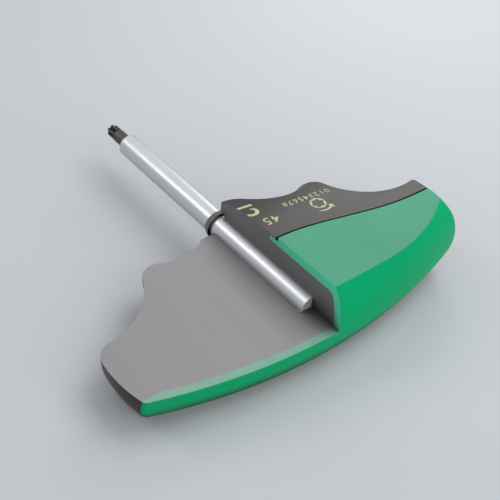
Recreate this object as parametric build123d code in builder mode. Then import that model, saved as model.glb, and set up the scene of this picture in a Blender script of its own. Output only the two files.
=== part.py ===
import math
import os

from build123d import *

os.makedirs("parts", exist_ok=True)

# Torque screwdriver with a wing handle, shown as a cutaway: the handle's upper left quarter
# is removed along the mid plane and the symmetry plane. Millimetres, +Y to the tip, +Z up.

# Driving dimensions of the tube and the tip
tube_diameter = 6.0
tube_length = 73.0
tube_bore = 4.4
tube_edge = 0.4
tip_reach = 7.9
shank_diameter = 3.5
lobe_length = 2.75
lobe_diameter = 3.3
lobe_root_diameter = 2.4
lobe_valley_radius = 0.7
lobe_edge = 0.2

# Driving dimensions of the handle, seen from above
half_width = 46.9
half_thickness = 10.7
rim_depth = 9.3
rim_radius = 150.0
rim_top_radius = 900.0
rim_joint = 15.0
rim_end_radius = 140.0
rim_end_top_radius = 50.0
rim_under_radius = 122.0
rim_end_under_radius = 112.0
side_radius = 31.0
side_height = 7.4
front_height = 33.45
nose_radius = 5.0
shoulder_height = 31.65
front_recess_radius = 12.05
front_recess_center = (14.5, 40.9)
long_recess_radius = 20.5
long_recess_center = (44.8, 35.9)
bump_radius = 4.6
corner_radius = 4.6
heel_radius = 1.6
rear_top_draw = 3.4
rear_under_draw = 4.0
side_draw = 4.2
front_recess_top_radius = 17.9
front_recess_top_center = (15.8, 40.2)
long_recess_draw = 8.8
long_recess_top_radius = 15.7
long_recess_top_center = (36.5, 26.6)
bump_top_radius = 2.0
neck_top_half_width = 1.0

# Driving dimensions of the moulded layers
grip_wall = 1.9
grip_layer = 2.2
wall_end = 41.5
core_step = 0.35
core_edge = 2.0
taper_start = 14.0
top_arc_end = 34.5
front_half_thickness = 6.7
seam_center = 13.0
seam_end = 7.3
seam_groove = 0.75
tongue_reach = 2.6
tongue_thickness = 1.0

# Driving dimensions of the collar and of the torque mechanism in the tube
collar_diameter = 7.4
collar_front_diameter = 6.6
collar_length = 1.65
collar_place = 33.2
seat_diameter = 8.4
seat_place = 31.9
anchor_length = 9.0
anchor_pin_diameter = 1.5
anchor_pin_length = 14.0
anchor_pin_offset = 2.0
bar_diameter = 2.5
bar_hex = 2.8
bar_hex_length = 5.0
journal_length = 12.7
bush_length = 3.4
bush_inset = 0.3
ball_diameter = 1.2
spring_wire = 0.18
spring_turns = 4
click_angle = 16.0
click_depth = 0.15
twist_limit = 17.0
stop_pin_diameter = 1.0
stop_pin_depth = 1.5
running_clearance = 0.05
end_play = 0.1

# Frame: the origin is under the middle of the bounding box, on the face it rests on
overall_length = rim_depth + tube_length + tip_reach
tube_rear = rim_depth - overall_length / 2
axis_height = half_thickness
mid = Plane(origin=(0, tube_rear, axis_height))
side = Plane(origin=(0, tube_rear, axis_height), x_dir=(0, 1, 0), z_dir=(1, 0, 0))
reach = 1.4 * half_width


def across(distance):
    """Plane square to the tool axis, at a distance from the tube's rear end, +Z upward."""
    return Plane(origin=(0, tube_rear + distance, axis_height), x_dir=(-1, 0, 0), z_dir=(0, 1, 0))


def crossing(center_a, radius_a, center_b, radius_b, turn):
    """Point where two circles cross, on the side given by turn."""
    gap_x, gap_y = center_b[0] - center_a[0], center_b[1] - center_a[1]
    gap = math.hypot(gap_x, gap_y)
    along = (gap**2 + radius_a**2 - radius_b**2) / (2 * gap)
    rise = turn * math.sqrt(radius_a**2 - along**2)
    return (
        center_a[0] + (along * gap_x - rise * gap_y) / gap,
        center_a[1] + (along * gap_y + rise * gap_x) / gap,
    )


def toward(center, target, distance):
    """Point at a distance from center in the direction of target."""
    gap = math.hypot(target[0] - center[0], target[1] - center[1])
    return (
        center[0] + distance * (target[0] - center[0]) / gap,
        center[1] + distance * (target[1] - center[1]) / gap,
    )


def bulge(height, draw):
    """How far a bulging wall has drawn in at a height from the mid plane, if by draw at the top."""
    radius = (half_thickness**2 + draw**2) / (2 * draw)
    return radius - math.sqrt(radius**2 - height**2)


def share_of_edge(height):
    """How much of the round top edge's form a section has at a height from the mid plane."""
    return bulge(height, long_recess_draw) / long_recess_draw


def blend(start, end, share):
    """Value part of the way from start to end."""
    return start + share * (end - start)


def rear_curve(height):
    """Rear end, joint with the end arc, end arc's centre, and both radii, at a height."""
    draw, middle_edge, end_edge = rear_top_draw, rim_top_radius, rim_end_top_radius
    if height < 0:
        draw, middle_edge, end_edge = rear_under_draw, rim_under_radius, rim_end_under_radius
    share = bulge(height, draw) / draw
    middle = 1 / blend(1 / rim_radius, 1 / middle_edge, share)
    end = blend(rim_end_radius, end_edge, share)
    rear = (0, bulge(height, draw) - rim_depth)
    joint = (rim_joint, rear[1] + middle - math.sqrt(middle**2 - rim_joint**2))
    end_center = toward(joint, (0, rear[1] + middle), end)
    return rear, joint, end_center, middle, end


# Centre of the long arc of the handle's ends
side_center = (half_width - side_radius, side_height)


def outline(height):
    """Section of the whole handle at a height from the mid plane."""
    rear, joint, end_center, middle_arc, end_arc = rear_curve(height)
    side_arc = side_radius - bulge(height, side_draw)
    corner_arc = corner_radius - bulge(height, side_draw)
    share = share_of_edge(height)
    front_arc = blend(front_recess_radius, front_recess_top_radius, share)
    front_center = (blend(front_recess_center[0], front_recess_top_center[0], share),
                    blend(front_recess_center[1], front_recess_top_center[1], share))
    bump_arc = blend(bump_radius, bump_top_radius, share)
    long_arc = blend(long_recess_radius, long_recess_top_radius, share)
    long_center = (blend(long_recess_center[0], long_recess_top_center[0], share),
                   blend(long_recess_center[1], long_recess_top_center[1], share))
    bump_center = crossing(front_center, front_arc + bump_arc, long_center, long_arc + bump_arc, -1)
    corner_center = crossing(side_center, side_arc - corner_arc, long_center, long_arc + corner_arc, -1)
    heel_center = crossing(end_center, end_arc - heel_radius, side_center, side_arc - heel_radius, 1)
    recess_drop = front_center[1] - shoulder_height
    neck_x = max(front_center[0] - math.sqrt(front_arc**2 - recess_drop**2), neck_top_half_width)
    neck_y = front_center[1] - math.sqrt(front_arc**2 - (front_center[0] - neck_x)**2)
    bump_in = toward(bump_center, front_center, bump_arc)
    bump_out = toward(bump_center, long_center, bump_arc)
    corner_in = toward(corner_center, long_center, corner_arc)
    corner_out = toward(side_center, corner_center, side_arc)
    heel_front = toward(side_center, heel_center, side_arc)
    heel_rear = toward(end_center, heel_center, end_arc)
    with BuildSketch(mid.offset(height)) as section:
        with BuildLine():
            Line((0, neck_y), (neck_x, neck_y))
            RadiusArc((neck_x, neck_y), bump_in, -front_arc)
            RadiusArc(bump_in, bump_out, bump_arc)
            RadiusArc(bump_out, corner_in, -long_arc)
            RadiusArc(corner_in, corner_out, corner_arc)
            RadiusArc(corner_out, heel_front, side_arc)
            RadiusArc(heel_front, heel_rear, heel_radius)
            RadiusArc(heel_rear, joint, end_arc)
            RadiusArc(joint, rear, middle_arc)
            mirror(about=Plane.YZ)
        make_face()
    return section.sketch


def rear_limit(height):
    """Section of everything ahead of the grip's rear wall, which thins out toward the heels."""
    rear, joint, end_center, middle_arc, end_arc = rear_curve(height)
    rear = (0, rear[1] + grip_wall)
    joint = toward(joint, end_center, grip_wall)
    middle_arc, end_arc = middle_arc - grip_wall, end_arc - grip_wall
    edge = end_center[1] - math.sqrt(end_arc**2 - (wall_end - end_center[0])**2)
    with BuildSketch(mid.offset(height)) as section:
        with BuildLine():
            Polyline((0, reach), (reach, reach), (reach, edge), (wall_end, edge))
            RadiusArc((wall_end, edge), joint, end_arc)
            RadiusArc(joint, rear, middle_arc)
            mirror(about=Plane.YZ)
        make_face()
    return section.sketch


def behind_seam(height, shift):
    """Area behind the seam between core and grip, at a height from the mid plane."""
    with BuildSketch(mid.offset(height)) as area:
        with BuildLine():
            Spline(
                (0, seam_center + shift),
                (0.3 * half_width, 0.68 * seam_center + 0.32 * seam_end + shift),
                (0.64 * half_width, 0.1 * seam_center + 0.9 * seam_end + shift),
                (1.1 * half_width, seam_end + shift),
                tangents=((1, 0), (1, 0)))
            Line((1.1 * half_width, seam_end + shift), (1.1 * half_width, -2 * rim_depth))
            Line((1.1 * half_width, -2 * rim_depth), (0, -2 * rim_depth))
            mirror(about=Plane.YZ)
        make_face()
    return area.sketch


def rear_edge(edge):
    """Whether an edge of the room inside the grip runs along its rear wall, above or below."""
    place = edge.center() - Vector(0, tube_rear, axis_height)
    return place.Y < seam_end and abs(place.Z) > layer_height - core_edge


def slot_corner(radius, turn):
    """Corner of the stop slot, where the stop pin's flank lies at the end of the twist."""
    angle = math.radians(twist_limit)
    flank = stop_pin_diameter / 2 + running_clearance
    return (turn * (radius * math.sin(angle) + flank * math.cos(angle)),
            flank * math.sin(angle) - radius * math.cos(angle))


# Heights and places worked out from the driving dimensions
layer_height = half_thickness - grip_layer
core_half = half_thickness - core_step
journal_front = tube_length - bush_inset - bush_length - end_play
journal_rear = journal_front - journal_length
bar_free_length = journal_rear + bar_hex_length / 10 - anchor_length
socket_depth = bar_hex_length * 1.14
click_place = journal_rear + socket_depth + 1.5 * ball_diameter
stop_place = journal_front - 2.4 * stop_pin_diameter
ball_height = (tube_bore - ball_diameter) / 2 - running_clearance
spring_length = 2 * ball_height - ball_diameter
spring_radius = (ball_diameter - 2 * spring_wire) / 2
stop_pin_length = tube_diameter / 2 - stop_pin_depth
anchor_pin_place = Location((0, tube_rear + anchor_pin_offset, axis_height), (0, 45, 0))
stop_pin_place = Location((0, tube_rear + stop_place, axis_height - stop_pin_depth - stop_pin_length / 2))
click_center = Location((0, tube_rear + click_place, axis_height))

# Handle blank: the plate with its bulging side walls, before it is parted into two plastics
with BuildPart() as blank:
    for share in (-1, -0.93, -0.8, -0.6, -0.3, 0, 0.3, 0.6, 0.8, 0.93, 1):
        add(outline(share * half_thickness))
    loft()

# Room ahead of the grip's rear wall
with BuildPart() as ahead:
    for share in (-1, -0.6, 0, 0.6, 1):
        add(rear_limit(share * half_thickness))
    loft()

# Missing quarter: upper left, bounded by the mid plane and the symmetry plane
with BuildPart() as quarter:
    with Locations((-reach / 2, tube_rear, axis_height + reach / 2)):
        Box(reach, 2 * reach, reach)

# Room inside the grip, between its two layers, with round rear edges
with BuildPart() as filling:
    add(ahead.part)
    with BuildSketch(mid.offset(-layer_height)):
        Rectangle(2 * reach, 2 * reach)
    extrude(amount=2 * layer_height, mode=Mode.INTERSECT)
    fillet(filling.edges().filter_by(rear_edge), radius=core_edge)
    extrude(behind_seam(-half_thickness, seam_groove), amount=2 * half_thickness, mode=Mode.INTERSECT)
    add(blank.part, mode=Mode.INTERSECT)

# Tongues: the front edges of the grip's two layers, which run on under the core's skin
with BuildPart() as tongues:
    extrude(behind_seam(layer_height, tongue_reach), amount=tongue_thickness)
    extrude(behind_seam(-layer_height, tongue_reach), amount=-tongue_thickness)
    add(blank.part, mode=Mode.INTERSECT)

# Core: hard dark plastic, with a round nose, the tube's bore, the collar's seat and a step for each thin layer of the grip
with BuildPart() as handle_core:
    add(blank.part)
    with BuildSketch(mid.offset(-half_thickness)):
        with Locations((0, front_height - nose_radius)):
            Circle(nose_radius)
    extrude(amount=2 * half_thickness)
    with BuildSketch(side):
        with BuildLine():
            Polyline((top_arc_end, front_half_thickness), (top_arc_end, 0),
                     (-2 * rim_depth, 0), (-2 * rim_depth, core_half), (taper_start, core_half))
            TangentArc((taper_start, core_half), (top_arc_end, front_half_thickness), tangent=(1, 0))
        make_face()
        mirror(about=Plane.XZ)
    extrude(amount=reach, both=True, mode=Mode.INTERSECT)
    extrude(behind_seam(-half_thickness, seam_groove), amount=2 * half_thickness, mode=Mode.SUBTRACT)
    add(filling.part)
    add(tongues.part, mode=Mode.SUBTRACT)
    with BuildSketch(across(0)):
        Circle(tube_diameter / 2)
    extrude(amount=reach, mode=Mode.SUBTRACT)
    with BuildSketch(across(seat_place)):
        Circle(seat_diameter / 2)
    extrude(amount=reach, mode=Mode.SUBTRACT)
    with Locations(anchor_pin_place):
        Cylinder(anchor_pin_diameter / 2, anchor_pin_length, mode=Mode.SUBTRACT)
    add(quarter.part, mode=Mode.SUBTRACT)
handle_core.part.label = "handle_core"
export_step(handle_core.part, "parts/handle_core.step")

# Grip: softer green plastic moulded over the core's rear wall, top and underside
with BuildPart() as handle_grip:
    add(blank.part)
    extrude(behind_seam(-half_thickness, 0), amount=2 * half_thickness, mode=Mode.INTERSECT)
    add(filling.part, mode=Mode.SUBTRACT)
    add(tongues.part)
    add(quarter.part, mode=Mode.SUBTRACT)
handle_grip.part.label = "handle_grip"
export_step(handle_grip.part, "parts/handle_grip.step")

# Sleeve tube: holds the torque mechanism; its rear end sits in the core
with BuildPart() as sleeve_tube:
    with BuildSketch(across(0)):
        Circle(tube_diameter / 2)
        Circle(tube_bore / 2, mode=Mode.SUBTRACT)
    extrude(amount=tube_length)
    mouth = sleeve_tube.edges().filter_by(GeomType.CIRCLE).group_by(Axis.Y)[-1]
    fillet(mouth.sort_by(SortBy.RADIUS)[-1], radius=tube_edge)
    with Locations(anchor_pin_place):
        Cylinder(anchor_pin_diameter / 2, anchor_pin_length, mode=Mode.SUBTRACT)
    with Locations(stop_pin_place):
        Cylinder(stop_pin_diameter / 2, stop_pin_length, mode=Mode.SUBTRACT)
    with BuildSketch(across(click_place - ball_diameter / 2)):
        for turn in (90 - click_angle, 90 + click_angle, 270 - click_angle, 270 + click_angle):
            with PolarLocations((tube_bore - ball_diameter) / 2 + click_depth, 1, start_angle=turn):
                Circle(ball_diameter / 2)
    extrude(amount=ball_diameter, mode=Mode.SUBTRACT)
sleeve_tube.part.label = "sleeve_tube"
export_step(sleeve_tube.part, "parts/sleeve_tube.step")

# Collar: dark ring on the tube, in the mouth of the core's round seat, narrower toward the tip
with BuildPart() as collar_ring:
    with BuildSketch(across(collar_place)):
        Circle(collar_diameter / 2)
        Circle(tube_diameter / 2, mode=Mode.SUBTRACT)
    extrude(amount=collar_length)
    rims = collar_ring.edges().filter_by(GeomType.CIRCLE).group_by(SortBy.RADIUS)[-1]
    chamfer(rims.sort_by(Axis.Y)[-1], length=0.7 * collar_length,
            length2=(collar_diameter - collar_front_diameter) / 2)
collar_ring.part.label = "collar_ring"
export_step(collar_ring.part, "parts/collar_ring.step")

# Rear anchor: plug that holds the torsion bar's rear hexagon in the tube
with BuildPart() as rear_anchor:
    with BuildSketch(across(0)):
        Circle(tube_bore / 2)
    extrude(amount=anchor_length)
    with BuildSketch(across(anchor_length)):
        RegularPolygon(bar_hex / 2, 6, major_radius=False)
    extrude(amount=-bar_hex_length, mode=Mode.SUBTRACT)
    with Locations(anchor_pin_place):
        Cylinder(anchor_pin_diameter / 2, anchor_pin_length, mode=Mode.SUBTRACT)
rear_anchor.part.label = "rear_anchor"
export_step(rear_anchor.part, "parts/rear_anchor.step")

# Anchor pin: locks the tube and the anchor to the core
with BuildPart() as anchor_pin:
    with Locations(anchor_pin_place):
        Cylinder(anchor_pin_diameter / 2, anchor_pin_length)
anchor_pin.part.label = "anchor_pin"
export_step(anchor_pin.part, "parts/anchor_pin.step")

# Torsion bar: the measuring spring, with a hexagon at each end
with BuildPart() as torsion_bar:
    with BuildSketch(across(anchor_length)):
        Circle(bar_diameter / 2)
    extrude(amount=bar_free_length)
    with BuildSketch(across(anchor_length - bar_hex_length), across(anchor_length + bar_free_length)):
        RegularPolygon(bar_hex / 2, 6, major_radius=False)
    extrude(amount=bar_hex_length)
torsion_bar.part.label = "torsion_bar"
export_step(torsion_bar.part, "parts/torsion_bar.step")

# Blade: journal, shank and six-lobe tip in one piece
with BuildPart() as blade:
    with BuildSketch(across(journal_rear)):
        Circle(tube_bore / 2 - running_clearance)
    extrude(amount=journal_front - journal_rear)
    with BuildSketch(across(journal_front)):
        Circle(shank_diameter / 2)
    extrude(amount=tube_length + tip_reach - lobe_length - journal_front)
    chamfer(blade.edges().filter_by(GeomType.CIRCLE).group_by(Axis.Y)[-1],
            length=(shank_diameter - lobe_root_diameter) / 3)
    with BuildSketch(across(tube_length + tip_reach - lobe_length)) as lobes:
        Circle(lobe_diameter / 2)
        with PolarLocations(lobe_root_diameter / 2 + lobe_valley_radius, 6):
            Circle(lobe_valley_radius, mode=Mode.SUBTRACT)
        fillet(lobes.vertices(), radius=lobe_edge)
    extrude(amount=lobe_length)
    with BuildSketch(across(journal_rear)):
        RegularPolygon(bar_hex / 2 + running_clearance, 6, major_radius=False)
    extrude(amount=socket_depth, mode=Mode.SUBTRACT)
    with Locations(click_center):
        Cylinder(ball_diameter / 2 + running_clearance, tube_bore, mode=Mode.SUBTRACT)
    with BuildSketch(across(stop_place - stop_pin_diameter / 2 - running_clearance)):
        Polygon(slot_corner(stop_pin_depth - end_play, -1), slot_corner(tube_bore, -1),
                slot_corner(tube_bore, 1), slot_corner(stop_pin_depth - end_play, 1), align=None)
    extrude(amount=stop_pin_diameter + 2 * running_clearance, mode=Mode.SUBTRACT)
blade.part.label = "blade"
export_step(blade.part, "parts/blade.step")

# Front bush: bearing for the shank, pressed into the tube's mouth
with BuildPart() as front_bush:
    with BuildSketch(across(tube_length - bush_inset - bush_length)):
        Circle(tube_bore / 2)
        Circle(shank_diameter / 2 + running_clearance, mode=Mode.SUBTRACT)
    extrude(amount=bush_length)
front_bush.part.label = "front_bush"
export_step(front_bush.part, "parts/front_bush.step")

# Stop pin: in the tube's wall, its inner end in the blade's slot
with BuildPart() as stop_pin:
    with Locations(stop_pin_place):
        Cylinder(stop_pin_diameter / 2, stop_pin_length - end_play)
stop_pin.part.label = "stop_pin"
export_step(stop_pin.part, "parts/stop_pin.step")

# Click balls: pressed outward against the tube's bore
with BuildPart() as click_ball_upper:
    with Locations(click_center * Location((0, 0, ball_height))):
        Sphere(ball_diameter / 2)
click_ball_upper.part.label = "click_ball_upper"
export_step(click_ball_upper.part, "parts/click_ball_upper.step")

with BuildPart() as click_ball_lower:
    with Locations(click_center * Location((0, 0, -ball_height))):
        Sphere(ball_diameter / 2)
click_ball_lower.part.label = "click_ball_lower"
export_step(click_ball_lower.part, "parts/click_ball_lower.step")

# Click spring: coil between the two balls
with BuildPart() as click_spring:
    with BuildLine():
        coil = Helix((spring_length - spring_wire) / spring_turns, spring_length - spring_wire,
                     spring_radius, center=(0, 0, (spring_wire - spring_length) / 2))
    with BuildSketch(Plane(origin=coil @ 0, x_dir=(0, 0, 1), z_dir=coil % 0)):
        RegularPolygon(spring_wire / 2, 6)
    sweep(is_frenet=True)
click_spring.part.label = "click_spring"
export_step(click_center * click_spring.part, "parts/click_spring.step")
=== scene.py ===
import math

import bmesh
import bpy
from mathutils import Matrix, Vector
from mathutils.bvhtree import BVHTree


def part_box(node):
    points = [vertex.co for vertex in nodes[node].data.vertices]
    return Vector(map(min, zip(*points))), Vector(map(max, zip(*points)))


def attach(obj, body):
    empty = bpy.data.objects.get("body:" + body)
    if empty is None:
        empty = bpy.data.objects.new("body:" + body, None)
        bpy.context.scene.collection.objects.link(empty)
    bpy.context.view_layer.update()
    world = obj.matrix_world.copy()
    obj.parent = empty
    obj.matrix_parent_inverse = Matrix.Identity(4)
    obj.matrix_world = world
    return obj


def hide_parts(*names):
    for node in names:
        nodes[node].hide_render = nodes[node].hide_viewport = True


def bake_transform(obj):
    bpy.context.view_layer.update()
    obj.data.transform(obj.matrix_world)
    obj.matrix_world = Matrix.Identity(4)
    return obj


# A torque screwdriver with a wing handle, cut away along its tube. Lengths are in metres, in the
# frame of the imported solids.
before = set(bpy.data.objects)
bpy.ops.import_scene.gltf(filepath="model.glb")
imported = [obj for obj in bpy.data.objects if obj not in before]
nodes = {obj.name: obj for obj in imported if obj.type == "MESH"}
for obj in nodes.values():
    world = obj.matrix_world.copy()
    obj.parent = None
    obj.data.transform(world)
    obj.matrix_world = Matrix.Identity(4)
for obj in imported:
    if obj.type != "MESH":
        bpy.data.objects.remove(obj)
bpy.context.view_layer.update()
MM = 0.001

# Heights and places read from the solids
core_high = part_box("handle_core")[1]
tube_low, tube_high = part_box("sleeve_tube")
axis_height = (tube_low.z + tube_high.z) / 2
tube_rear = tube_low.y

black = (0, 0, 0, 1)


def linear(r, g, b):
    """Colour as it shows on a screen, 0 to 255, as the linear colour that a shader takes."""
    def channel(v):
        v /= 255
        return v / 12.92 if v <= 0.04045 else ((v + 0.055) / 1.055) ** 2.4
    return (channel(r), channel(g), channel(b), 1)


def shade(colour, factor):
    """The same colour, lighter or darker."""
    return [factor * v for v in colour[:3]] + [1]


# Sockets of Blender's Mix node when it mixes colours
mix_share, mix_first, mix_second, mix_result = 0, 6, 7, 2


class Shader:
    """A node material with one Principled shader, and short calls for the nodes it is made of."""

    def __init__(self, name, **values):
        self.material = bpy.data.materials.new(name)
        self.material.use_nodes = True
        self.tree = self.material.node_tree
        self.surface = self.tree.nodes["Principled BSDF"]
        for key, value in values.items():
            self.surface.inputs[key.replace("_", " ")].default_value = value
        self.place = self.tree.nodes.new("ShaderNodeTexCoord").outputs["Object"]
        self.axes = self.add("ShaderNodeSeparateXYZ", {0: self.place}).outputs
        facing = self.tree.nodes.new("ShaderNodeNewGeometry").outputs["Normal"]
        self.facing = self.add("ShaderNodeSeparateXYZ", {0: facing}).outputs

    def add(self, kind, inputs, **settings):
        """A node, with a value or another node's output in each of its named inputs."""
        node = self.tree.nodes.new(kind)
        for key, value in settings.items():
            setattr(node, key, value)
        for key, value in inputs.items():
            if isinstance(value, bpy.types.NodeSocket):
                self.tree.links.new(value, node.inputs[key])
            else:
                node.inputs[key].default_value = value
        return node

    def math(self, operation, a, b=0.0, c=0.0):
        return self.add("ShaderNodeMath", {0: a, 1: b, 2: c}, operation=operation).outputs[0]

    def absolute(self, a):
        return self.math("ABSOLUTE", a)

    def noise(self, scale, detail=3.0, stretch=(1, 1, 1)):
        """Noise of a scale per metre, between 0 and 1."""
        where = self.add("ShaderNodeMapping", {"Vector": self.place, "Scale": stretch}).outputs[0]
        inputs = {"Vector": where, "Scale": scale, "Detail": detail}
        return self.add("ShaderNodeTexNoise", inputs).outputs[0]

    def spread(self, value, low, high, start=0.0, end=1.0):
        """Goes from low to high while a value goes from start to end."""
        inputs = {"Value": value, "From Min": start, "From Max": end, "To Min": low, "To Max": high}
        return self.add("ShaderNodeMapRange", inputs).outputs[0]

    def ramp(self, value, start, end):
        """0 where a value is below the start, and 1 where it is above the end."""
        return self.spread(value, 0.0, 1.0, start, end)

    def mix(self, share, a, b):
        inputs = {mix_share: share, mix_first: a, mix_second: b}
        return self.add("ShaderNodeMix", inputs, data_type="RGBA").outputs[mix_result]

    def varied(self, share, colour, by):
        """A colour that a share from 0 to 1 makes darker or lighter by a fraction."""
        return self.mix(share, shade(colour, 1 - by), shade(colour, 1 + by))

    def bump(self, height, depth):
        inputs = {"Height": height, "Distance": depth, "Strength": 1.0}
        return self.add("ShaderNodeBump", inputs).outputs[0]

    def openness(self, reach, darkest, rays=8, closed=0.5, open_from=0.95):
        """1 in the open and less in corners, by how much lies within a reach around a place; used
        to paint shade into corners.
        """
        node = self.add("ShaderNodeAmbientOcclusion", {"Distance": reach}, samples=rays)
        return self.spread(node.outputs["AO"], darkest, 1.0, closed, open_from)

    def set(self, name, value):
        self.tree.links.new(value, self.surface.inputs[name])


plastic_ior = 1.5
skin_depth = 0.004 * MM
cut_tolerance = 0.01 * MM
flat_facing = (0.93, 0.998)
cloud_scale, cloud_range = 60, (0.3, 0.7)
saw_scale, saw_stretch, saw_range = 500, (1, 0.05, 1), (0.35, 0.65)
satin_scale, satin_variation = 300, 0.04
painted_shade_reach, painted_shade_darkest = 8 * MM, 0.15


def moulded(name, wall, flat, cut_flat, cut_wall, grain, roughness, gloss):
    """Moulded plastic: flats painted lighter as a sheen, and lighter faces where it is cut open."""
    s = Shader(name, IOR=plastic_ior, Specular_IOR_Level=gloss)
    on_section = s.math("COMPARE", s.axes[2], axis_height, cut_tolerance)
    on_cut_wall = s.math("COMPARE", s.axes[0], 0.0, cut_tolerance)
    clouds = s.ramp(s.noise(cloud_scale), *cloud_range)
    # Faces that lie flat get the lighter flat colour, a painted sheen.
    painted_sheen_share = s.ramp(s.absolute(s.facing[2]), *flat_facing)
    outside = s.mix(painted_sheen_share, wall, s.varied(clouds, flat, 0.05))
    saw_marks = s.ramp(s.noise(saw_scale, 2, saw_stretch), *saw_range)
    section = s.varied(saw_marks, cut_flat, 0.02)
    # The cut wall at x = 0 gets its own colour, painted shading of the same cut plastic: darker
    # than the section on the core, lighter green on the grip.
    sawn_wall_painted_shading = s.varied(saw_marks, cut_wall, 0.03)
    colour = s.mix(on_section, s.mix(on_cut_wall, outside, sawn_wall_painted_shading), section)
    # Corners and recesses are painted darker, towards black, as shade.
    s.set("Base Color", s.mix(s.openness(painted_shade_reach, painted_shade_darkest), black, colour))
    s.set("Roughness", s.spread(s.noise(satin_scale), roughness - satin_variation,
                                roughness + satin_variation))
    s.set("Normal", s.bump(s.noise(grain, 2), skin_depth))
    return s.material


metal_share = 0.78
line_stretch = (1, 0.004, 1)
end_facing = (0.9, 0.95)
line_shade = 0.95
groove_painted_shade = 0.08
sawn_roughness = 0.35


def metal(name, colour, roughness, streak, depth, groove=0.0):
    """Drawn or turned metal, with fine lines along the tube and duller sawn ends. Its sides are
    painted almost black within a radius of the axis, which is where the bottoms of grooves lie, as
    the shade in them."""
    s = Shader(name, Metallic=metal_share)
    lines = s.noise(streak, 2, line_stretch)
    clean = s.mix(lines, shade(colour, line_shade), colour)
    height = s.math("SUBTRACT", s.axes[2], axis_height)
    squares = s.math("ADD", s.math("MULTIPLY", s.axes[0], s.axes[0]),
                     s.math("MULTIPLY", height, height))
    outside = s.ramp(s.math("SQRT", squares), groove, 1.15 * groove + 0.01 * MM)
    sawn = s.ramp(s.absolute(s.facing[1]), *end_facing)
    # Within the groove radius the colour is painted almost black, as the shade in the grooves.
    s.set("Base Color", s.mix(s.math("MAXIMUM", outside, sawn), shade(colour, groove_painted_shade),
                              clean))
    rolled = s.spread(lines, roughness - 0.01, roughness + 0.02)
    s.set("Roughness", s.math("MULTIPLY_ADD", sawn, sawn_roughness, rolled))
    s.set("Normal", s.bump(lines, depth))
    return s.material


collar_grain = 2600
rear_facing = -0.9


def collar_rubber():
    """Dark plastic ring, whose rear face lies in the shade of the handle."""
    s = Shader("collar_plastic", IOR=plastic_ior, Specular_IOR_Level=0.4)
    fine = s.noise(collar_grain, 2)
    rear = s.math("LESS_THAN", s.facing[1], rear_facing)
    front = s.mix(fine, linear(94, 95, 94), linear(102, 103, 102))
    s.set("Base Color", s.mix(rear, front, linear(14, 14, 15)))
    s.set("Roughness", s.spread(fine, 0.36, 0.44))
    s.set("Normal", s.bump(fine, skin_depth))
    return s.material


wear_scale, wear_range = 1400, (0.35, 0.62)


def print_ink():
    """Pale yellow ink, a little rough and worn in small patches."""
    s = Shader("print_ink", IOR=plastic_ior, Specular_IOR_Level=0.2)
    worn = s.ramp(s.noise(wear_scale, 4), *wear_range)
    s.set("Base Color", s.mix(worn, linear(176, 174, 128), linear(204, 202, 158)))
    s.set("Roughness", s.spread(worn, 0.55, 0.45))
    s.set("Normal", s.bump(worn, skin_depth))
    return s.material


# Each flat colour is the wall colour with a painted sheen; each cut_wall colour is the cut plastic
# with painted shading.
core_skin = moulded(
    "core_plastic", wall=linear(24, 15, 13), flat=linear(59, 57, 54),
    cut_flat=linear(143, 141, 144), cut_wall=linear(110, 110, 113), grain=2600, roughness=0.38,
    gloss=0.38)
grip_skin = moulded(
    "grip_plastic", wall=linear(0, 161, 104), flat=linear(86, 160, 130),
    cut_flat=linear(130, 174, 156), cut_wall=linear(92, 212, 172), grain=3400, roughness=0.42,
    gloss=0.05)
tube_steel = metal(
    "tube_steel", linear(206, 206, 208), roughness=0.33, streak=1500, depth=0.0002 * MM)
pin_steel = metal(
    "pin_steel", linear(190, 190, 192), roughness=0.3, streak=2500, depth=0.001 * MM)
spring_steel = metal(
    "spring_steel", linear(150, 148, 145), roughness=0.35, streak=2500, depth=0.001 * MM)
tip_steel = metal(
    "tip_steel", linear(86, 82, 79), roughness=0.4, streak=2200, depth=0.001 * MM,
    groove=1.35 * MM)
brass = metal(
    "brass", linear(200, 165, 105), roughness=0.3, streak=2500, depth=0.001 * MM)

finishes = {
    "handle_core": core_skin, "handle_grip": grip_skin, "sleeve_tube": tube_steel,
    "collar_ring": collar_rubber(), "rear_anchor": tube_steel, "anchor_pin": pin_steel,
    "torsion_bar": spring_steel, "blade": tip_steel, "front_bush": brass,
    "stop_pin": pin_steel, "click_ball_upper": pin_steel, "click_ball_lower": pin_steel,
    "click_spring": spring_steel}
for name, material in finishes.items():
    node = nodes[name]
    node.data.materials.clear()
    node.data.materials.append(material)


def whole(mesh):
    """All that a mesh consists of, for a tool that takes it as one list."""
    return mesh.verts[:] + mesh.edges[:] + mesh.faces[:]


def cut_across(mesh, axis, low, high, step):
    """Cuts a mesh into lengths of a step along an axis, so that it can follow a curve."""
    for k in range(1, int((high - low) / step) + 1):
        bmesh.ops.bisect_plane(mesh, geom=whole(mesh), plane_co=axis * (low + k * step),
                               plane_no=axis)


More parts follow.
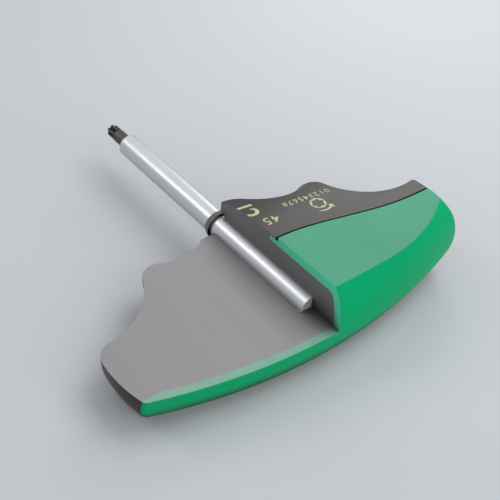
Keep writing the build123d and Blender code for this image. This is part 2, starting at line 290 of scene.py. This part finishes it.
# Torsion bar in short lengths, so that it twists between its rear hexagon and its front one
bar_low, bar_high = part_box("torsion_bar")
bar_step = 1.6 * MM
bar_weld = 1e-4 * MM
smooth_angle = math.radians(30)
bar_shape = bmesh.new()
bar_shape.from_mesh(nodes["torsion_bar"].data)
bmesh.ops.remove_doubles(bar_shape, verts=bar_shape.verts, dist=bar_weld)
cut_across(bar_shape, Vector((0, 1, 0)), bar_low.y, bar_high.y, bar_step)
bar_mesh = bpy.data.meshes.new("torsion_bar_twisting")
bar_shape.to_mesh(bar_mesh)
bar_shape.free()
bar_mesh.materials.append(spring_steel)
bar_mesh.set_sharp_from_angle(angle=smooth_angle)
twisting_bar = bpy.data.objects.new("torsion_bar_twisting", bar_mesh)
bpy.context.scene.collection.objects.link(twisting_bar)
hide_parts("torsion_bar")
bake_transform(twisting_bar)

# Print on the core's top: plain numbers, a six-lobe ring and a turning arrow
ink = print_ink()
core_mesh = nodes["handle_core"].data
core_surface = BVHTree.FromPolygons([v.co for v in core_mesh.vertices],
                                    [p.vertices for p in core_mesh.polygons])
print_step = 0.5 * MM
print_thickness = 0.03 * MM
print_height = 0.7 * print_thickness
print_margin = 0.15 * MM
ribbon_weld = 1e-3 * MM
letter_weld = 1e-4
letter_growth = 0.006
letter_curve_steps = 6


def on_handle(x, y):
    """Place on the handle from above: x from the tool's axis, y from the tube's rear end, in mm."""
    return Vector((x * MM, tube_rear + y * MM, 0))


def lay_print(name, sheet):
    """Lays a flat mesh on the core's top: cut at the section, split finely, and dropped on it."""
    xs, ys = [v.co.x for v in sheet.verts], [v.co.y for v in sheet.verts]
    cut_across(sheet, Vector((1, 0, 0)), min(xs), max(xs), print_step)
    cut_across(sheet, Vector((0, 1, 0)), min(ys), max(ys), print_step)
    bmesh.ops.bisect_plane(sheet, geom=whole(sheet), plane_co=(print_margin, 0, 0),
                           plane_no=(1, 0, 0), clear_inner=True)
    for v in sheet.verts:
        above = Vector((v.co.x, v.co.y, 2 * core_high.z))
        v.co.z = core_surface.ray_cast(above, Vector((0, 0, -1)))[0].z + print_height
    mesh = bpy.data.meshes.new(name)
    sheet.to_mesh(mesh)
    sheet.free()
    piece = bpy.data.objects.new(name, mesh)
    bpy.context.scene.collection.objects.link(piece)
    piece.modifiers.new("thickness", "SOLIDIFY").thickness = print_thickness
    mesh.materials.append(ink)
    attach(piece, "handle")


def number(name, figures, height, spacing, corner, turn):
    """Figures of a height in mm, from their lower left corner on, turned by degrees."""
    text = bpy.data.curves.new(name, "FONT")
    text.body = figures
    text.offset = letter_growth
    text.space_character = spacing
    text.resolution_u = letter_curve_steps
    carrier = bpy.data.objects.new(name, text)
    mesh = bpy.data.meshes.new_from_object(carrier)
    bpy.data.objects.remove(carrier)
    sheet = bmesh.new()
    sheet.from_mesh(mesh)
    bmesh.ops.remove_doubles(sheet, verts=sheet.verts, dist=letter_weld)
    low = Vector((min(v.co.x for v in sheet.verts), min(v.co.y for v in sheet.verts), 0))
    tall = max(v.co.y for v in sheet.verts) - low.y
    sheet.transform(
        Matrix.Translation(on_handle(*corner)) @ Matrix.Rotation(math.radians(turn), 4, "Z")
        @ Matrix.Scale(height * MM / tall, 4) @ Matrix.Translation(-low))
    lay_print(name, sheet)


def ribbon(name, center, inner, outer, start, end, steps):
    """Flat ring or arc, its inner and outer radius in mm as functions of the angle in degrees."""
    sheet = bmesh.new()
    rows = []
    for k in range(steps + 1):
        angle = start + (end - start) * k / steps
        ray = Vector((math.cos(math.radians(angle)), math.sin(math.radians(angle)), 0))
        rows.append([sheet.verts.new(on_handle(*center) + r(angle) * ray * MM)
                     for r in (inner, outer)])
    for a, b in zip(rows, rows[1:]):
        sheet.faces.new((a[0], a[1], b[1], b[0]))
    bmesh.ops.remove_doubles(sheet, verts=sheet.verts, dist=ribbon_weld)
    bmesh.ops.recalc_face_normals(sheet, faces=sheet.faces)
    lay_print(name, sheet)


number("print_large", "12", height=5.8, spacing=0.8, corner=(-1.7, 28.5), turn=-99)
number("print_small", "45", height=2.7, spacing=1.2, corner=(5.4, 20.3), turn=174)
number("print_row", "0 1 2 3 4 5 6 7 8", height=1.7, spacing=0.85, corner=(22.2, 21.4), turn=173)

ring_center = (16.4, 17.95)
lobe_count = 6
arrow_rear, arrow_neck, arrow_point = 235, 305, 322


def lobed(angle):
    """Inner radius of the ring, with its lobes."""
    return 1.5 + 0.2 * math.cos(math.radians(lobe_count * angle))


def half_head(angle):
    """Half the width of the arrow's head, which narrows to its point."""
    return 0.06 * (arrow_point - angle)


ribbon("print_ring", ring_center, lobed, lambda a: 1.98, 0, 360, 72)
ribbon("print_arrow_shaft", ring_center, lambda a: 2.85, lambda a: 3.05 + 0.006 * (a - arrow_rear),
       arrow_rear, arrow_neck, 24)
ribbon("print_arrow_head", ring_center, lambda a: 3.1 - half_head(a), lambda a: 3.1 + half_head(a),
       arrow_neck, arrow_point, 8)


def background_rays(tree):
    """1 for rays that show the background: the camera's, and those that metal and glass send on."""
    path = tree.nodes.new("ShaderNodeLightPath").outputs
    rays = path["Is Camera Ray"]
    for kind in ("Is Glossy Ray", "Is Transmission Ray"):
        either = tree.nodes.new("ShaderNodeMath")
        either.operation = "MAXIMUM"
        tree.links.new(rays, either.inputs[0])
        tree.links.new(path[kind], either.inputs[1])
        rays = either.outputs[0]
    return rays


# Floor: pale paper that far from the handle looks like the backdrop
backdrop = linear(200, 205, 209)
floor_side = 6
fade_from, fade_to = 0.25, 0.9
bpy.ops.mesh.primitive_plane_add(size=floor_side)
floor = bpy.context.object
floor.name = "floor"
paper = Shader("floor_paper", Roughness=0.8, Specular_IOR_Level=0.2)
paper.set("Base Color", paper.mix(paper.noise(8), linear(192, 196, 200), linear(198, 202, 206)))
distance = paper.add("ShaderNodeVectorMath", {0: paper.place}, operation="LENGTH").outputs["Value"]
far = paper.math("MULTIPLY", paper.ramp(distance, fade_from, fade_to), background_rays(paper.tree))
sky = paper.add("ShaderNodeEmission", {"Color": backdrop}).outputs[0]
both = paper.add("ShaderNodeMixShader", {0: far, 1: paper.surface.outputs[0], 2: sky}).outputs[0]
paper.tree.links.new(both, paper.tree.nodes["Material Output"].inputs["Surface"])
floor.data.materials.append(paper.material)


# Lamps and world: plain soft studio light
def softbox(name, direction, distance, width, length, radiance):
    """Area light that looks at the handle from a direction and shines evenly at a radiance."""
    data = bpy.data.lights.new(name, "AREA")
    data.shape = "RECTANGLE"
    data.size = width
    data.size_y = length
    data.energy = radiance * math.pi * width * length
    lamp = bpy.data.objects.new(name, data)
    bpy.context.scene.collection.objects.link(lamp)
    lamp.visible_camera = False
    lamp.location = Vector(direction).normalized() * distance
    lamp.rotation_euler = (-Vector(direction)).to_track_quat("-Z", "Y").to_euler()


# Name, direction, distance, width, length, radiance
softbox("top", (0.45, -0.15, 0.88), 0.9, 0.6, 0.6, 2.9)
softbox("bank", (-0.15, 0.62, 0.75), 0.8, 1.4, 0.5, 0.4)
softbox("sheen", (0.72, 0.38, 0.58), 0.24, 0.12, 0.12, 2.6)
softbox("stripe", (-0.47, 0.56, 0.68), 0.8, 0.13, 0.4, 3.6)
softbox("rear", (0.1, -0.9, 0.42), 0.9, 0.9, 0.9, 1.6)
softbox("left", (-0.85, -0.25, 0.45), 0.9, 0.5, 0.5, 1.0)

fill_light = (0.3, 0.3, 0.3, 1)
world = bpy.data.worlds.new("studio")
bpy.context.scene.world = world
world.use_nodes = True
air = world.node_tree
shown = air.nodes.new("ShaderNodeMix")
shown.data_type = "RGBA"
shown.inputs[mix_first].default_value = fill_light
shown.inputs[mix_second].default_value = backdrop
air.links.new(background_rays(air), shown.inputs[mix_share])
air.links.new(shown.outputs[mix_result], air.nodes["Background"].inputs["Color"])
air.nodes["Background"].inputs["Strength"].default_value = 1.0

# Camera: the photograph's own viewpoint
lens_in_frames = 1.9
camera_place = Vector((-114.435, -100.702, 156.902)) * MM + Vector((0, tube_rear, 0))
camera_right = Vector((0.7768, -0.62383, 0.08614))
camera_up = Vector((0.36152, 0.55374, 0.75012))
camera_data = bpy.data.cameras.new("camera")
camera_data.sensor_width = 36
camera_data.lens = lens_in_frames * camera_data.sensor_width
camera_data.clip_start = 5 * MM
camera = bpy.data.objects.new("camera", camera_data)
bpy.context.scene.collection.objects.link(camera)
turn = Matrix((camera_right, camera_up, camera_right.cross(camera_up))).transposed().to_4x4()
camera.matrix_world = Matrix.Translation(camera_place) @ turn
bpy.context.scene.camera = camera
bpy.context.scene.view_settings.view_transform = "Standard"
